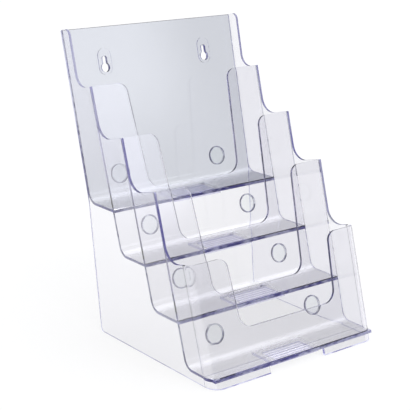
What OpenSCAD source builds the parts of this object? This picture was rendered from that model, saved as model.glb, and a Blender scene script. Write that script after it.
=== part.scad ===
// Stepped four-pocket magazine rack in clear plastic sheet, free standing or hung on two screws.
// Y runs from the front (-) to the back (+), Z is up, and the base stands on Z = 0.

/* [Body] */
// Outside width across the two side walls at the base
body_w = 233.6; // [226:0.2:250]
// Outward lean of each side wall
draft = 0.83; // [0.4:0.01:1.2]
// Thickness of every wall, floor and front
wall_t = 3; // [2.5:0.5:3.5]
// Number of pockets, from the front pocket up to the top one
tiers = 4; // [4:1:4]

/* [Steps] */
// Distance from one pocket to the next, front to back
step_y = 58.7; // [56:0.1:60]
// Rise from one pocket to the next
step_z = 47.8; // [44:0.1:50]
// Height of the underside of the lowest floor
floor_z = 8; // [6:0.5:9]
// Lean of the pocket fronts away from vertical
front_lean = 16; // [15:0.1:19]
// Inside radius where a floor curves up into its back wall
floor_r = 12; // [8:0.5:13]

/* [Fronts] */
// Height of the ears on the upper fronts, along the lean
ear_h = 142; // [134:0.5:146]
// Height of the ears on the lowest front, along the lean
low_ear_h = 125; // [117:0.5:129]
// Height of the upper cutouts' lower edge, along the lean
cut_h = 19; // [16:0.2:24]
// Height of the lowest cutout's lower edge, along the lean
low_cut_h = 47.4; // [40:0.2:50]
// Half width of a cutout at the top of the ears
cut_top_x = 73; // [66:0.5:78]
// Half width of an upper cutout at its lower edge
cut_low_x = 64.5; // [58:0.5:70]
// Half width of the lowest cutout at its lower edge
low_cut_x = 67.5; // [60:0.5:70]
// Radius of the ears' inner top corners
ear_r = 12; // [8:0.5:16]
// Radius of the cutouts' lower corners
cut_r = 16; // [10:0.5:20]
// Outside radius of the lowest front's vertical corners
wrap_r = 14; // [10:0.5:16]

/* [Back] */
// Lean of the back panel away from vertical
back_lean = 13.45; // [12.5:0.05:15]
// Distance from the foot of the front to the bend in the rear edge
bend_y = 229.7; // [228:0.1:233]
// Height of the bend in the rear edge
bend_z = 154.8; // [151:0.1:157]
// Height of the back panel's top edge
back_z = 343.8; // [335:0.1:352]
// Distance from the foot of the front to the foot of the rear edge
foot_y = 213; // [205:0.1:220]
// Width of the side walls where they run up past the top pocket
flange_w = 16; // [12:0.5:18]

/* [Side steps] */
// Slope of the side walls' ledges behind the ears
ledge_slope = 13; // [10:0.5:16]
// Radius of the hollow curves between ledges and ears
hollow_r = 20; // [14:0.5:22]

/* [Keyholes] */
// Distance of each keyhole and each round boss from the middle
fitting_x = 71.5; // [66:0.5:76]
// Distance of the keyhole heads below the back panel's top edge
keyhole_drop = 46.5; // [40:0.5:60]
// Radius of a keyhole's round head
keyhole_head_r = 5.5; // [5:0.1:6.5]
// Radius of a keyhole's narrow end
keyhole_slot_r = 3; // [2.6:0.1:3.4]
// Distance from a keyhole's head to its narrow end
keyhole_len = 10.5; // [8:0.5:12]
// Radius of the raised pad round a keyhole
keyhole_pad_r = 8.7; // [8:0.1:10]
// Distance of the pad's upper end above the keyhole's narrow end
keyhole_pad_rise = 3; // [1:0.5:5]
// Height of the raised pad round a keyhole
keyhole_pad_h = 1; // [0.6:0.1:1.5]

/* [Bosses and seats] */
// Outside radius of the round bosses behind the pockets
boss_r = 11.5; // [9:0.1:12]
// Height of the round bosses
boss_h = 2; // [1:0.5:3]
// Width of a boss's rim
boss_rim = 1.4; // [1:0.1:2]
// Distance of the bosses below the next floor's front edge, along the lean
boss_drop = 21.8; // [19:0.1:24]
// Half width of the ribbed seat under each floor
seat_x = 34.3; // [30:0.1:36]
// Depth of a ribbed seat, front to back
seat_y = 33.5; // [30:0.5:36]
// Thickness of a ribbed seat
seat_t = 3; // [2.4:0.1:3.6]
// Width of a seat's plain borders beside its ribs
seat_border = 7; // [5:0.5:9]
// Width of a seat's plain border in front of its ribs
seat_lip = 3; // [2:0.5:5]
// Depth of a seat's ribbed window, front to back
window_y = 23; // [18:0.5:24]
// Number of ribs in a seat
seat_ribs = 4; // [3:1:5]
// Half width of the notch in the front skirt
notch_x = 39.5; // [36:0.5:42]

/* [Hidden] */
arc_step = 6;
edge_r = 0.6;
corner_r = 5;
bend_r = 60;
flange_corner_r = 8;
flange_hollow_r = 16;
seat_gap = 3.5;
seat_groove = 1.5;
rib_gap = 0.4;
rib_w = 1.4;
boss_land = 1.2;
slack = 1;
corner_d = wrap_r + slack;
tall = 1.1 * back_z;
wall_x = wall_t / cos(draft);
back_rise = back_z - bend_z;
back_y = bend_y + back_rise * tan(back_lean);
front_y = -back_y / 2;
corner_tilt = atan(tan(draft) * cos(front_lean));
up = [sin(front_lean), cos(front_lean)];
back_up = [sin(back_lean), cos(back_lean)];
ledge = [cos(ledge_slope), -sin(ledge_slope)];
foot = [front_y, 0];
bend = [front_y + bend_y, bend_z];
back_top = [front_y + back_y, back_z];
flange_front = bend - flange_w * [cos(back_lean), -sin(back_lean)];
skin = wall_t / cos(front_lean);
back_skin = wall_t / cos(back_lean);
clear = "#e4e6f0";

// Half width across the side walls' outer faces at a height
function half_at(z) = body_w / 2 + z * tan(draft);

// Lower front edge of floor k, and the top corner of the ears on front k
function floor_edge(k) = foot + floor_z / cos(front_lean) * up + (k - 1) * [step_y, step_z];
function ear_top(k) = floor_edge(k) + (k == 1 ? low_ear_h : ear_h) * up;

// Where two lines cross, each given as a point and a direction
function cross2(a, b) = a[0] * b[1] - a[1] * b[0];
function meet(p, u, q, v) = p + cross2(q - p, v) / cross2(u, v) * u;
function at_height(p, u, z) = meet(p, u, [0, z], [1, 0]);

// Outline through corners [[x, y], radius], each rounded by an arc
function unit(v) = v / norm(v);
function corner_arc(p, c, n, r) =
    let (
        u = unit(p - c),
        v = unit(n - c),
        half = acos(max(-1, min(1, u * v))) / 2,
        centre = c + r / sin(half) * unit(u + v),
        from = c + r / tan(half) * u - centre,
        to = c + r / tan(half) * v - centre,
        turn = 180 - 2 * half,
        sense = sign(cross2(from, to)),
        steps = max(1, ceil(turn / arc_step))
    )
    [for (i = [0:steps])
        let (a = sense * turn * i / steps)
        centre + [from[0] * cos(a) - from[1] * sin(a), from[0] * sin(a) + from[1] * cos(a)]];
function rounded(corners) =
    let (n = len(corners))
    [for (i = [0:n - 1])
        let (c = corners[i])
        each c[1] == 0
            ? [c[0]]
            : corner_arc(corners[(i + n - 1) % n][0], c[0], corners[(i + 1) % n][0], c[1])];

// Stands a Y-Z outline up and extrudes it along X, from -width / 2 to width / 2
module along_x(width) {
    rotate([90, 0, 90]) linear_extrude(height = width, center = true) children();
}

// Lays an X-height outline on a leaning plane through p, with its thickness behind the plane
module on_lean(p, lean, thickness) {
    translate([0, p[0], p[1]]) rotate([90 - lean, 0, 0]) mirror([0, 0, 1])
        linear_extrude(height = thickness) children();
}

// Everything between two heights
module level(low, high) {
    translate([-body_w, front_y - body_w, low]) cube([2 * body_w, 3 * body_w, high - low]);
}

// Stands an X-Z outline up and extrudes it along Y, past the model at both ends
module along_y() {
    rotate([90, 0, 0]) linear_extrude(height = 2 * back_y, center = true) children();
}

// Everything between the side walls' inner faces
module between_walls() {
    low = half_at(0) - wall_x;
    high = half_at(tall) - wall_x;
    along_y() polygon([[-low, 0], [low, 0], [high, tall], [-high, tall]]);
}

// Side wall with a ledge and a hollow curve for each step
module side_wall(side) {
    ledge_corners = [for (k = [1:tiers - 1]) meet(ear_top(k), ledge, ear_top(k + 1), up)];
    wrap_foot = foot + [corner_d / cos(front_lean), 0];
    low = half_at(0);
    high = half_at(tall);
    outline = rounded(concat(
        [
            [[front_y + foot_y, 0], corner_r],
            [bend, bend_r],
            [back_top, 0],
            [flange_front + back_rise / cos(back_lean) * back_up, flange_corner_r],
            [meet(ear_top(tiers), ledge, flange_front, back_up), flange_hollow_r]
        ],
        [for (k = [tiers - 1:-1:1]) each [[ear_top(k + 1), edge_r], [ledge_corners[k - 1], hollow_r]]],
        [
            [meet(wrap_foot, up, ear_top(1), ledge), 0],
            [wrap_foot, 0]
        ]
    ));
    color(clear)
        intersection() {
            along_x(3 * body_w) polygon(outline);
            along_y() polygon([
                [side * (low - wall_x), 0],
                [side * low, 0],
                [side * high, tall],
                [side * (high - wall_x), tall]
            ]);
        }
}

// Y-Z outline of a floor that curves up into a wall whose front face runs from p along u
module tray_outline(k, p, u, wall_skin, top_z) {
    edge = floor_edge(k);
    behind = p + [wall_skin, 0];
    polygon(rounded([
        [edge, 0],
        [edge + skin * up, 0],
        [at_height(p, u, edge[1] + wall_t), floor_r],
        [at_height(p, u, top_z), 0],
        [at_height(behind, u, top_z), 0],
        [at_height(behind, u, edge[1]), floor_r + wall_t]
    ]));
}

// Point in the lowest front's corner frame: inset from the side wall's outer face, y behind the front
function corner_point(inset, y) = [-inset - y * sin(draft) * sin(front_lean), y];

// Extrudes the right half of an outline along the lowest front's right corner
module up_corner() {
    intersection() {
        translate([body_w / 2, front_y, 0])
            rotate([-front_lean, 0, 0])
                rotate([0, corner_tilt, 0])
                    translate([0, 0, -2 * floor_z])
                        linear_extrude(height = low_ear_h + 4 * floor_z) children();
        translate([0, front_y - body_w, -body_w]) cube([body_w, 2 * body_w, 3 * body_w]);
    }
}

// Puts a right half and its mirror image together
module both_halves() {
    children();
    mirror([1, 0, 0]) children();
}

// Right half of the solid that fills the lowest front's rounded outline, leaning with it
module corner_solid() {
    up_corner()
        polygon(rounded([
            [[-body_w, 0], 0],
            [[0, 0], wrap_r],
            [corner_point(0, corner_d), 0],
            [[-body_w, corner_d], 0]
        ]));
}

// Right half of the lowest front's shell: a flat middle and a corner that turns back to the side wall
module corner_shell() {
    up_corner()
        difference() {
            polygon(rounded([
                [[-body_w, 0], 0],
                [[0, 0], wrap_r],
                [corner_point(0, corner_d), 0],
                [[-body_w, corner_d], 0]
            ]));
            polygon(rounded([
                [[-body_w - slack, wall_t], 0],
                [corner_point(wall_t, wall_t), wrap_r - wall_t],
                [corner_point(wall_t, corner_d + slack), 0],
                [[-body_w - slack, corner_d + slack], 0]
            ]));
        }
}

// Floor k with the back wall of its pocket
module tray(k) {
    next = floor_edge(k + 1);
    color(clear) {
        intersection() {
            along_x(3 * body_w) tray_outline(k, next, up, skin, next[1]);
            between_walls();
        }
        if (k == 1) {
            both_halves()
                intersection() {
                    corner_solid();
                    level(floor_edge(1)[1], floor_edge(1)[1] + wall_t);
                }
        }
    }
}

// Keyhole outline, head at the middle and narrow end above it
module keyhole() {
    circle(r = keyhole_head_r, $fn = 64);
    translate([0, keyhole_len]) circle(r = keyhole_slot_r, $fn = 48);
    translate([-keyhole_slot_r, 0]) square([2 * keyhole_slot_r, keyhole_len]);
}

// Rounded pad outline round a keyhole
module keyhole_pad() {
    circle(r = keyhole_pad_r, $fn = 96);
    translate([0, keyhole_len + keyhole_pad_rise]) circle(r = keyhole_pad_r, $fn = 96);
    translate([-keyhole_pad_r, 0]) square([2 * keyhole_pad_r, keyhole_len + keyhole_pad_rise]);
}

// Top floor with the tall back panel, its two keyholes and their pads
module back_panel() {
    face_top = back_top - [back_skin, 0];
    head = at_height(face_top, back_up, back_z - keyhole_drop * cos(back_lean));
    pad_face = head - keyhole_pad_h * [cos(back_lean), -sin(back_lean)];
    color(clear)
        difference() {
            union() {
                intersection() {
                    along_x(3 * body_w) tray_outline(tiers, face_top, back_up, back_skin, back_z);
                    between_walls();
                }
                for (side = [-1, 1])
                    on_lean(pad_face, back_lean, keyhole_pad_h + wall_t / 2)
                        translate([side * fitting_x, 0]) keyhole_pad();
            }
            for (side = [-1, 1])
                on_lean(pad_face - slack * [cos(back_lean), -sin(back_lean)], back_lean, 4 * wall_t)
                    translate([side * fitting_x, 0]) keyhole();
        }
}

// Front outline in its own plane: two ears and the wide cutout between them
module ear_outline(height, cut, low_x) {
    polygon(rounded([
        [[-body_w, -wall_t], 0],
        [[body_w, -wall_t], 0],
        [[body_w, height], 0],
        [[cut_top_x, height], ear_r],
        [[low_x, cut], cut_r],
        [[-low_x, cut], cut_r],
        [[-cut_top_x, height], ear_r],
        [[-body_w, height], 0]
    ]));
}

// Upper front k, standing on the front edge of floor k between the side walls
module front(k) {
    edge = floor_edge(k);
    color(clear)
        intersection() {
            on_lean(edge, front_lean, wall_t) ear_outline(ear_h, cut_h, cut_low_x);
            level(edge[1] + wall_t, edge[1] + 2 * ear_h);
            between_walls();
        }
}

// Lowest front, whose corners turn back to meet the side walls under the first ledge
module low_front() {
    edge = floor_edge(1);
    top = ear_top(1);
    color(clear)
        both_halves()
            difference() {
                intersection() {
                    corner_shell();
                    on_lean(edge, front_lean, 2 * corner_d) ear_outline(low_ear_h, low_cut_h, low_cut_x);
                    level(edge[1] + wall_t, edge[1] + 2 * ear_h);
                }
                translate([-body_w, top[0], top[1]]) rotate([-ledge_slope, 0, 0])
                    cube([2 * body_w, 4 * corner_d, 4 * corner_d]);
            }
}

// Strip of skirt below the lowest floor, on the right of the notch
module skirt() {
    color(clear)
        intersection() {
            corner_shell();
            level(0, floor_edge(1)[1]);
            translate([notch_x, front_y - body_w, 0]) cube([body_w, 2 * body_w, body_w]);
        }
}

// Seat bonded under floor k, with ribs in a shallow window on its upper side
module seat(k) {
    edge = floor_edge(k);
    window_x = seat_x - seat_border;
    groove_w = (window_y - seat_ribs * rib_w) / (seat_ribs + 1);
    color(clear)
        translate([0, edge[0] + seat_gap, edge[1] - seat_t])
            difference() {
                translate([-seat_x, 0, 0]) cube([2 * seat_x, seat_y, seat_t]);
                translate([-window_x, seat_lip, seat_t - rib_gap])
                    cube([2 * window_x, window_y, rib_gap + slack]);
                for (i = [0:seat_ribs])
                    translate([-window_x, seat_lip + i * (groove_w + rib_w), seat_t - seat_groove])
                        cube([2 * window_x, groove_w, seat_groove + slack]);
            }
}

// Round boss bonded behind the back wall of pocket k
module boss(k, side) {
    lean = k == tiers ? back_lean : front_lean;
    line = [sin(lean), cos(lean)];
    height = floor_edge(k + 1)[1] - boss_drop * cos(front_lean);
    wall_back = k == tiers ? back_top : floor_edge(k + 1) + [skin, 0];
    centre = at_height(wall_back, line, height);
    color(clear)
        translate([side * fitting_x, 0, 0])
            difference() {
                on_lean(centre, lean, boss_h) circle(r = boss_r, $fn = 96);
                on_lean(centre + boss_land * [cos(lean), -sin(lean)], lean, boss_h)
                    circle(r = boss_r - boss_rim, $fn = 96);
            }
}

side_wall(-1);  // side_left
side_wall(1);  // side_right
back_panel();
tray(1);  // tray_1
tray(2);  // tray_2
tray(3);  // tray_3
low_front();  // front_1
front(2);  // front_2
front(3);  // front_3
front(4);  // front_4
mirror([1, 0, 0]) skirt();  // skirt_left
skirt();  // skirt_right
seat(1);  // seat_1
seat(2);  // seat_2
seat(3);  // seat_3
seat(4);  // seat_4
boss(1, -1);  // boss_1_left
boss(1, 1);  // boss_1_right
boss(2, -1);  // boss_2_left
boss(2, 1);  // boss_2_right
boss(3, -1);  // boss_3_left
boss(3, 1);  // boss_3_right
boss(4, -1);  // boss_4_left
boss(4, 1);  // boss_4_right
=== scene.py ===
"""Clear plastic stepped magazine rack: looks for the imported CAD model."""
import math

import bpy
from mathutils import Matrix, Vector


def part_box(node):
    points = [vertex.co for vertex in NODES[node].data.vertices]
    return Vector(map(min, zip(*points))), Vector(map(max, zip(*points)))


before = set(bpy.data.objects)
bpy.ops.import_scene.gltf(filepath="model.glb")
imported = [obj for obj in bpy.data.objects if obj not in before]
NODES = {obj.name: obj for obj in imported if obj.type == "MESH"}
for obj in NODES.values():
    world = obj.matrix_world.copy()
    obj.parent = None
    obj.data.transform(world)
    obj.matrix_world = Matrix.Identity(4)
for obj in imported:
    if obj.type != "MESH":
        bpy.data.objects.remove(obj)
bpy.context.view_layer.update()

# Camera: where it stands in metres, where it looks in degrees, and its lens in millimetres
CAMERA_PLACE = (-0.80397, -1.00804, 0.52164)
CAMERA_TURN = 37.78
CAMERA_DIP = 16.11
CAMERA_LENS = 103.17

# Clear plastic: how it bends light, and the colour it soaks up per metre
PLASTIC_IOR = 1.59
SOAK_COLOUR = (0.22, 0.17, 0.66, 1.0)
SOAK_DENSITY = 12.0
# Painted shade: the plastic's colour is made darker where a face is seen at a grazing angle
GRAZING_SHADE = (0.50, 0.49, 0.57, 1.0)
SEAM_GAP = 0.00004
EDGE_ROUND = 0.00015
FRONT_SHINE = 0.75
BACK_SHINE = 0.35

# Tint of each kind of sheet
SIDE_TINT = (0.97, 0.97, 0.975, 1)
SHEET_TINT = (0.985, 0.984, 0.992, 1)
TRAY_TINT = (0.94, 0.94, 0.945, 1)
# The back sheet is the same plastic painted darker: painted shade on the back panel
BACK_SHADED_TINT = (0.685, 0.705, 0.745, 1)

# Fronts: their lean, the foot of the lowest one, and the way back from it, square to it
FRONT_LEAN = math.radians(16.0)
FRONT_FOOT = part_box("skirt_left")[0].y
BACKWARD = (0.0, math.cos(FRONT_LEAN), -math.sin(FRONT_LEAN))
UPWARD = (0.0, math.sin(FRONT_LEAN), math.cos(FRONT_LEAN))
CORNER_DEPTH = 0.015

# Floor: its colour, and the even glow that keeps it pale
FLOOR_COLOUR = (0.2, 0.2, 0.2, 1.0)
FLOOR_GLOW = 0.83

# Room: brightness of the walls, upper room, overhead lamp and front panel, with the panel's edges
ROOM_POWER = 0.32
TOP_POWER = 0.7
LAMP_POWER = 1.7
LAMP_WAY = (0.589, -0.05, 0.806)
LAMP_EDGE = (0.93, 0.99)
PANEL_POWER = 1.5
PANEL_EDGE = 37.5
PANEL_FOOT = (0.13, 0.22)

# Painted light on the cut edges of the floors and walls (dark violet painted shade, pale painted highlights
# and a painted glow), and painted shade on the outlines of the fronts
BAND_SHADE = (0.18, 0.17, 0.45, 1.0)
BAND_HIGHLIGHT = (0.72, 0.73, 0.90, 1.0)
EDGE_PAINTED_GLOW = 0.24
OUTLINE_REACH = 0.112
OUTLINE_SHADE = (0.20, 0.20, 0.27, 1.0)
BAND_DEPTH = 0.0012
BAND_HIGHLIGHT_STREAK = (30.0, 4.0, 60.0)
WALL_HIGHLIGHT_STREAK = (200.0, 14.0, 14.0)

# Bosses: their refracting plastic painted near-black as shade, clear middle, a ring of painted shade at the
# rim and where that ring starts and ends, in from the edge
BOSS_WALL_SHADE = (0.10, 0.09, 0.16, 1)
BOSS_CLEAR = (0.975, 0.985, 0.98, 1)
BOSS_RIM_SHADE = (0.42, 0.42, 0.55, 1)
RIM_IN = (0.0016, 0.0010)

# Seats: their plastic, painted dark violet as shade, frosted white and its painted glow, and the window's
# edges
SEAT_WALL_SHADE = (0.55, 0.54, 0.75, 1)
SEAT_CLEAR = (0.99, 0.99, 1, 1)
SEAT_WHITE = (0.95, 0.95, 0.97, 1)
SEAT_PAINTED_GLOW_COLOUR = (0.95, 0.95, 1, 1)
SEAT_PAINTED_GLOW = 0.5
WINDOW_SIDE = (0.0068, 0.0076)
WINDOW_FRONT = (0.0028, 0.0034)
WINDOW_BACK = (0.0264, 0.0258)
RIB_TOP = (0.0012, 0.0008)


def make_camera():
    data = bpy.data.cameras.new("camera")
    data.lens = CAMERA_LENS
    data.sensor_width = 36.0
    data.clip_end = 100.0
    camera = bpy.data.objects.new("camera", data)
    camera.location = CAMERA_PLACE
    camera.rotation_euler = (math.radians(90 - CAMERA_DIP), 0, math.radians(-CAMERA_TURN))
    bpy.context.scene.collection.objects.link(camera)
    bpy.context.scene.camera = camera


class Graph:
    """Short helpers for building a node tree."""

    def __init__(self, tree):
        self.tree = tree

    def node(self, kind, links=(), **values):
        made = self.tree.nodes.new(kind)
        for key, value in values.items():
            setattr(made, key, value)
        for socket, source in links:
            if hasattr(source, "is_output"):
                self.tree.links.new(source, made.inputs[socket])
            else:
                made.inputs[socket].default_value = source
        return made

    def maths(self, operation, first, second=0.0):
        return self.node("ShaderNodeMath", [(0, first), (1, second)], operation=operation).outputs[0]

    def dot(self, vector, direction):
        made = self.node("ShaderNodeVectorMath", [(0, vector), (1, direction)], operation="DOT_PRODUCT")
        return made.outputs["Value"]

    def ramp(self, value, low, high, start=0.0, end=1.0):
        made = self.node(
            "ShaderNodeMapRange",
            [("Value", value), ("From Min", low), ("From Max", high), ("To Min", start), ("To Max", end)],
            interpolation_type="SMOOTHSTEP",
        )
        return made.outputs["Result"]

    def link(self, source, socket):
        self.tree.links.new(source, socket)


def make_floor():
    """Plain pale floor, the same everywhere."""
    bpy.ops.mesh.primitive_plane_add(size=40, location=(0, 0, -0.0005))
    floor = bpy.context.object
    floor.name = "floor"
    material = bpy.data.materials.new("floor_white")
    material.use_nodes = True
    g = Graph(material.node_tree)
    shader = material.node_tree.nodes["Principled BSDF"]
    place = g.node("ShaderNodeTexCoord").outputs["Object"]
    mottle = g.node("ShaderNodeTexNoise", [("Vector", place), ("Scale", 3.0), ("Detail", 2.0)])
    g.link(g.ramp(mottle.outputs["Fac"], 0.3, 0.7, 0.92, 1.0), shader.inputs["Roughness"])
    shader.inputs["Base Color"].default_value = FLOOR_COLOUR
    shader.inputs["Specular IOR Level"].default_value = 0.0
    shader.inputs["Emission Color"].default_value = (1, 1, 1, 1)
    shader.inputs["Emission Strength"].default_value = FLOOR_GLOW
    floor.data.materials.append(material)


def make_room():
    """Soft light from all round: a cool dim room with a large bright panel in front, up to the right."""
    world = bpy.data.worlds.new("room")
    world.use_nodes = True
    g = Graph(world.node_tree)
    background = world.node_tree.nodes["Background"]
    way = g.node("ShaderNodeTexCoord").outputs["Generated"]
    rise = g.dot(way, (0.0, 0.0, 1.0))
    edge = math.radians(PANEL_EDGE)
    aside = g.dot(way, (-math.cos(edge), -math.sin(edge), 0.0))
    forward = g.dot(way, (math.sin(edge), -math.cos(edge), 0.0))
    mask = g.maths("MULTIPLY", g.ramp(aside, -0.02, 0.05), g.ramp(rise, *PANEL_FOOT))
    mask = g.maths("MULTIPLY", mask, g.ramp(forward, 0.2, 0.5))
    top = g.ramp(rise, 0.35, 0.9)
    level = g.maths("ADD", g.maths("MULTIPLY", mask, PANEL_POWER), g.maths("MULTIPLY", top, TOP_POWER))
    lamp = g.ramp(g.dot(way, LAMP_WAY), *LAMP_EDGE, ROOM_POWER, ROOM_POWER + LAMP_POWER)
    level = g.maths("ADD", level, lamp)
    g.link(level, background.inputs["Strength"])
    background.inputs["Color"].default_value = (0.955, 0.967, 1.0, 1)
    bpy.context.scene.world = world


def start_plastic(name, tint):
    """Clear plastic shader with haze, ripples, fine scratches and painted shade that darkens its colour at
    grazing angles, as (material, graph, place, shader).
    """
    material = bpy.data.materials.new(name)
    material.use_nodes = True
    g = Graph(material.node_tree)
    shader = material.node_tree.nodes["Principled BSDF"]
    place = g.node("ShaderNodeTexCoord").outputs["Object"]
    haze = g.node("ShaderNodeTexNoise", [("Vector", place), ("Scale", 9.0), ("Detail", 3.0)])
    soft = g.ramp(haze.outputs["Fac"], 0.35, 0.7, 0.008, 0.028)
    stretched = g.node(
        "ShaderNodeMapping",
        [("Vector", place), ("Rotation", (0.3, 0.2, 0.5)), ("Scale", (40.0, 900.0, 40.0))],
    ).outputs["Vector"]
    marks = g.node("ShaderNodeTexNoise", [("Vector", stretched), ("Scale", 1.0), ("Detail", 2.0)])
    scratch = g.ramp(marks.outputs["Fac"], 0.66, 0.74)
    g.link(g.maths("ADD", soft, g.maths("MULTIPLY", scratch, 0.06)), shader.inputs["Roughness"])
    ripple = g.node("ShaderNodeTexNoise", [("Vector", place), ("Scale", 22.0), ("Detail", 2.0)])
    height = g.maths("ADD", ripple.outputs["Fac"], g.maths("MULTIPLY", scratch, -0.03))
    bump = g.node("ShaderNodeBump", [("Height", height), ("Strength", 0.1), ("Distance", 0.0005)])
    g.link(bump.outputs["Normal"], shader.inputs["Normal"])
    # Painted shade: the colour darkens towards grazing angles
    grazing = g.maths("POWER", g.node("ShaderNodeLayerWeight", [("Blend", 0.5)]).outputs["Facing"], 5.0)
    grazing_shade_colour = tuple(c * k for c, k in zip(tint, GRAZING_SHADE))
    colour = g.node("ShaderNodeMix", [(0, grazing), (6, tint), (7, grazing_shade_colour)], data_type="RGBA")
    g.link(colour.outputs[2], shader.inputs["Base Color"])
    shader.inputs["IOR"].default_value = PLASTIC_IOR
    shader.inputs["Transmission Weight"].default_value = 1.0
    return material, g, place, shader


def soak(material, g):
    """Violet that deepens with the length of plastic that light has run through."""
    made = g.node("ShaderNodeVolumeAbsorption", [("Color", SOAK_COLOUR), ("Density", SOAK_DENSITY)])
    g.link(made.outputs["Volume"], material.node_tree.nodes["Material Output"].inputs["Volume"])


def let_through(material, g, shader, mask, tint):
    """Faces under the mask let light straight through, as a bonded face does."""
    clear = g.node("ShaderNodeBsdfTransparent", [("Color", tint)])
    mix = g.node("ShaderNodeMixShader", [(0, mask), (1, shader.outputs[0]), (2, clear.outputs[0])])
    g.link(mix.outputs[0], material.node_tree.nodes["Material Output"].inputs["Surface"])


def clear_sheet(name, tint, bonded=0):
    """Sheet plastic; bonded is 1 or -1 where a face towards the back or the front is fused at the corners."""
    material, g, place, shader = start_plastic(name, tint)
    soak(material, g)
    if bonded:
        normal = g.node("ShaderNodeTexCoord").outputs["Normal"]
        facing = g.ramp(g.maths("MULTIPLY", g.dot(normal, BACKWARD), bonded), 0.90, 0.96)
        depth = g.maths("SUBTRACT", g.dot(place, BACKWARD), FRONT_FOOT * BACKWARD[1])
        near = g.maths("ABSOLUTE", g.maths("SUBTRACT", depth, CORNER_DEPTH))
        mask = g.maths("MULTIPLY", facing, g.ramp(near, 0.0025, 0.0015))
        mask = g.maths("MAXIMUM", mask, g.ramp(near, 0.00026, 0.00022))
        let_through(material, g, shader, mask, (1, 1, 1, 1))
    return material, g, place, shader


def lay_over(material, g, amount, layer):
    """Mixes a layer over whatever the material shows now."""
    output = material.node_tree.nodes["Material Output"]
    wired = output.inputs["Surface"].links[0].from_socket
    mix = g.node("ShaderNodeMixShader", [(0, amount), (1, wired), (2, layer.outputs[0])])
    g.link(mix.outputs[0], output.inputs["Surface"])


def paint_edge_light(material, g, place, mask, low, high, stretch):
    """Painted light under the mask: dark violet painted shade streaked with pale painted highlights along the
    stretch, with a painted glow, standing in for how cut and polished edges look.
    """
    along = g.node("ShaderNodeMapping", [("Vector", place), ("Scale", stretch)]).outputs["Vector"]
    noise = g.node(
        "ShaderNodeTexNoise", [("Vector", along), ("Scale", 1.0), ("Detail", 3.0), ("Roughness", 0.65)]
    )
    pale = g.ramp(noise.outputs["Fac"], 0.42, 0.60)
    colour = g.node("ShaderNodeMix", [(0, pale), (6, BAND_SHADE), (7, BAND_HIGHLIGHT)], data_type="RGBA")
    thin = g.node("ShaderNodeBsdfTranslucent", [("Color", colour.outputs[2])])
    # Painted glow on the edge, though it is no lamp
    glow = g.node("ShaderNodeEmission", [("Color", colour.outputs[2]), ("Strength", EDGE_PAINTED_GLOW)])
    painted_edge_light = g.node("ShaderNodeAddShader", [(0, thin.outputs[0]), (1, glow.outputs[0])])
    amount = g.maths("MULTIPLY", mask, g.ramp(noise.outputs["Fac"], 0.40, 0.62, low, high))
    lay_over(material, g, amount, painted_edge_light)


def cut_band(material, g, place, node):
    """Painted shade and highlights on a floor's cut front edge, round the corners on the lowest one, and on
    its ends at the side walls.
    """
    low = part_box(node)[0]
    edge = low.y * BACKWARD[1] + low.z * BACKWARD[2]
    reach = CORNER_DEPTH - 0.001 if node == "tray_1" else BAND_DEPTH
    normal = g.node("ShaderNodeTexCoord").outputs["Normal"]
    depth = g.maths("SUBTRACT", g.dot(place, BACKWARD), edge)
    upright = g.maths("ABSOLUTE", g.dot(normal, UPWARD))
    face = g.maths("MULTIPLY", g.ramp(upright, 0.35, 0.25), g.ramp(depth, reach, reach - 0.0006))
    ends = g.ramp(g.maths("ABSOLUTE", g.dot(normal, (1.0, 0.0, 0.0))), 0.7, 0.8, 0.0, 0.85)
    paint_edge_light(material, g, place, g.maths("MAXIMUM", face, ends), 0.6, 0.9, BAND_HIGHLIGHT_STREAK)


def front_foot(material, g, place):
    """Painted shade and highlights on the foot of a front, bonded on its floor."""
    normal = g.node("ShaderNodeTexCoord").outputs["Normal"]
    foot = g.ramp(g.dot(normal, (0.0, 0.0, 1.0)), -0.85, -0.95)
    paint_edge_light(material, g, place, foot, 0.55, 0.85, BAND_HIGHLIGHT_STREAK)


def skirt_top(material, g, place):
    """Painted shade and highlights on the top of a skirt strip, bonded under the lowest floor."""
    normal = g.node("ShaderNodeTexCoord").outputs["Normal"]
    top = g.ramp(g.dot(normal, (0.0, 0.0, 1.0)), 0.85, 0.95)
    paint_edge_light(material, g, place, top, 0.55, 0.85, BAND_HIGHLIGHT_STREAK)


def front_outline(material, g, place):
    """Painted shade on the polished outline of a front's ears and cutout: a layer of dark slate on its edge
    faces.
    """
    normal = g.node("ShaderNodeTexCoord").outputs["Normal"]
    rim = g.ramp(g.maths("ABSOLUTE", g.dot(normal, BACKWARD)), 0.5, 0.3)
    above = g.ramp(g.dot(normal, (0.0, 0.0, 1.0)), -0.85, -0.8)
    inside = g.ramp(g.maths("ABSOLUTE", g.dot(place, (1.0, 0.0, 0.0))), OUTLINE_REACH, OUTLINE_REACH - 0.001)
    along = g.node("ShaderNodeMapping", [("Vector", place), ("Scale", (25.0, 60.0, 25.0))]).outputs["Vector"]
    noise = g.node("ShaderNodeTexNoise", [("Vector", along), ("Scale", 1.0), ("Detail", 3.0)])
    amount = g.maths("MULTIPLY", g.maths("MULTIPLY", rim, above), inside)
    amount = g.maths("MULTIPLY", amount, g.ramp(noise.outputs["Fac"], 0.35, 0.65, 0.25, 0.65))
    lay_over(material, g, amount, g.node("ShaderNodeBsdfTranslucent", [("Color", OUTLINE_SHADE)]))


def wall_edges(material, g, place):
    """Painted shade and highlights on the cut edges of a side wall, away from its fused front strip."""
    normal = g.node("ShaderNodeTexCoord").outputs["Normal"]
    edge = g.ramp(g.maths("ABSOLUTE", g.dot(normal, (1.0, 0.0, 0.0))), 0.45, 0.30)
    depth = g.maths("SUBTRACT", g.dot(place, BACKWARD), FRONT_FOOT * BACKWARD[1])
    away = g.ramp(depth, CORNER_DEPTH + 0.001, CORNER_DEPTH + 0.002)
    paint_edge_light(material, g, place, g.maths("MULTIPLY", edge, away), 0.45, 0.8, WALL_HIGHLIGHT_STREAK)


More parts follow.
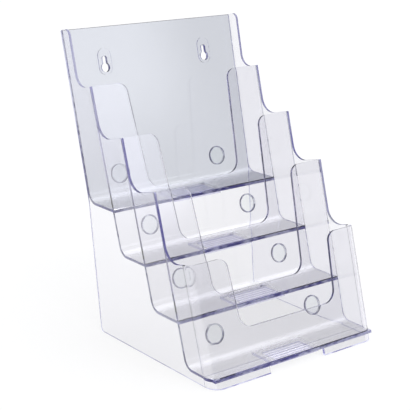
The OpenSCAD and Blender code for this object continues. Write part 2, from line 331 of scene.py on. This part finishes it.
def boss_plastic(name, node):
    """Fused disc: its flat middle is clear; its rim bends the light and is painted near-black as shade, and a
    ring of painted shade near its edge has lighter breaks that stand for highlights.
    """
    # The rim walls' plastic is painted near-black: painted shade
    material, g, place, shader = start_plastic(name, BOSS_WALL_SHADE)
    low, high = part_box(node)
    middle = (low + high) / 2
    normal = g.node("ShaderNodeTexCoord").outputs["Normal"]
    flat = g.ramp(g.maths("ABSOLUTE", g.dot(normal, BACKWARD)), 0.7, 0.8)
    out = g.node("ShaderNodeVectorMath", [(0, place), (1, middle)], operation="SUBTRACT").outputs["Vector"]
    radius = g.node("ShaderNodeVectorMath", [(0, out)], operation="LENGTH").outputs["Value"]
    noise = g.node("ShaderNodeTexNoise", [("Vector", place), ("Scale", 160.0), ("Detail", 1.0)])
    edge = (high.x - low.x) / 2
    # Painted shade: a dark ring near the disc's edge, broken in places by lighter gaps
    rim = g.ramp(radius, edge - RIM_IN[0], edge - RIM_IN[1])
    rim = g.maths("MULTIPLY", rim, g.ramp(noise.outputs["Fac"], 0.40, 0.55, 1.0, 0.35))
    shade = g.node("ShaderNodeMix", [(0, rim), (6, BOSS_CLEAR), (7, BOSS_RIM_SHADE)], data_type="RGBA")
    let_through(material, g, shader, flat, shade.outputs[2])
    return material


def seat_plastic(name, node):
    """Fused ribbed seat: clear, with walls painted dark violet as shade, and a window that is frosted white
    with a painted glow, most of all on its ribs.
    """
    # The seat's walls are painted dark violet: painted shade
    material, g, place, shader = start_plastic(name, SEAT_WALL_SHADE)
    low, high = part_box(node)
    normal = g.node("ShaderNodeTexCoord").outputs["Normal"]
    upright = g.dot(normal, (0.0, 0.0, 1.0))
    flat = g.ramp(g.maths("ABSOLUTE", upright), 0.7, 0.8)
    let_through(material, g, shader, flat, SEAT_CLEAR)
    across = g.maths("ABSOLUTE", g.dot(place, (1.0, 0.0, 0.0)))
    inside_x = g.ramp(across, high.x - WINDOW_SIDE[0], high.x - WINDOW_SIDE[1])
    along = g.dot(place, (0.0, 1.0, 0.0))
    inside_y = g.maths(
        "MULTIPLY",
        g.ramp(along, low.y + WINDOW_FRONT[0], low.y + WINDOW_FRONT[1]),
        g.ramp(along, low.y + WINDOW_BACK[0], low.y + WINDOW_BACK[1]),
    )
    grain = g.node("ShaderNodeTexNoise", [("Vector", place), ("Scale", 700.0), ("Detail", 1.0)])
    rise = g.dot(place, (0.0, 0.0, 1.0))
    rib = g.ramp(rise, high.z - RIB_TOP[0], high.z - RIB_TOP[1], 0.55, 0.95)
    frost = g.ramp(grain.outputs["Fac"], 0.3, 0.7, 0.8, 1.0)
    veil = g.maths("MULTIPLY", frost, g.maths("MULTIPLY", rib, flat))
    veil = g.maths("MULTIPLY", veil, g.ramp(upright, 0.6, 0.8))
    veil = g.maths("MULTIPLY", veil, g.maths("MULTIPLY", inside_x, inside_y))
    glow = g.node("ShaderNodeBsdfTranslucent", [("Color", SEAT_WHITE)])
    chalk = g.node("ShaderNodeBsdfDiffuse", [("Color", SEAT_WHITE)])
    soft = g.node("ShaderNodeMixShader", [(0, 0.15), (1, glow.outputs[0]), (2, chalk.outputs[0])])
    # Painted glow on the window, though it is no lamp
    painted_glow = g.node("ShaderNodeEmission", [("Color", SEAT_PAINTED_GLOW_COLOUR), ("Strength", SEAT_PAINTED_GLOW)])
    white = g.node("ShaderNodeAddShader", [(0, soft.outputs[0]), (1, painted_glow.outputs[0])])
    lay_over(material, g, veil, white)
    return material


def dress(name, material):
    """Gives a CAD piece its material, softened edges and a hair's gap at its bonded seams."""
    piece = NODES[name]
    piece.data.materials.clear()
    piece.data.materials.append(material)
    seam = piece.modifiers.new("seam", "DISPLACE")
    seam.mid_level = 0.0
    seam.strength = -SEAM_GAP
    soften = piece.modifiers.new("soften", "BEVEL")
    soften.width = EDGE_ROUND
    soften.segments = 2
    soften.limit_method = "ANGLE"
    soften.angle_limit = math.radians(35)


def make_materials():
    side = clear_sheet("side_sheet", SIDE_TINT, -1)
    wall_edges(*side[:3])
    corner = clear_sheet("corner_sheet", SHEET_TINT, 1)
    front_foot(*corner[:3])
    front_outline(*corner[:3])
    front = clear_sheet("front_sheet", SHEET_TINT)
    front[3].inputs["Specular IOR Level"].default_value = FRONT_SHINE
    front_foot(*front[:3])
    front_outline(*front[:3])
    skirt = clear_sheet("skirt_sheet", SHEET_TINT, 1)
    skirt_top(*skirt[:3])
    for name in NODES:
        if name.startswith("side"):
            dress(name, side[0])
        elif name.startswith("back"):
            # Its darker tint is painted shade
            back = clear_sheet("back_sheet", BACK_SHADED_TINT)
            back[3].inputs["Specular IOR Level"].default_value = BACK_SHINE
            cut_band(*back[:3], name)
            dress(name, back[0])
        elif name.startswith("boss"):
            dress(name, boss_plastic(name + "_plastic", name))
        elif name.startswith("seat"):
            dress(name, seat_plastic(name + "_plastic", name))
        elif name.startswith("tray"):
            sheet = clear_sheet(name + "_sheet", TRAY_TINT, 1)
            cut_band(*sheet[:3], name)
            dress(name, sheet[0])
        elif name.startswith("skirt"):
            dress(name, skirt[0])
        elif name == "front_1":
            dress(name, corner[0])
        else:
            dress(name, front[0])


make_camera()
make_floor()
make_room()
make_materials()

scene = bpy.context.scene
scene.view_settings.view_transform = "Standard"
scene.cycles.max_bounces = 40
scene.cycles.transmission_bounces = 40
scene.cycles.glossy_bounces = 24
scene.cycles.volume_bounces = 0
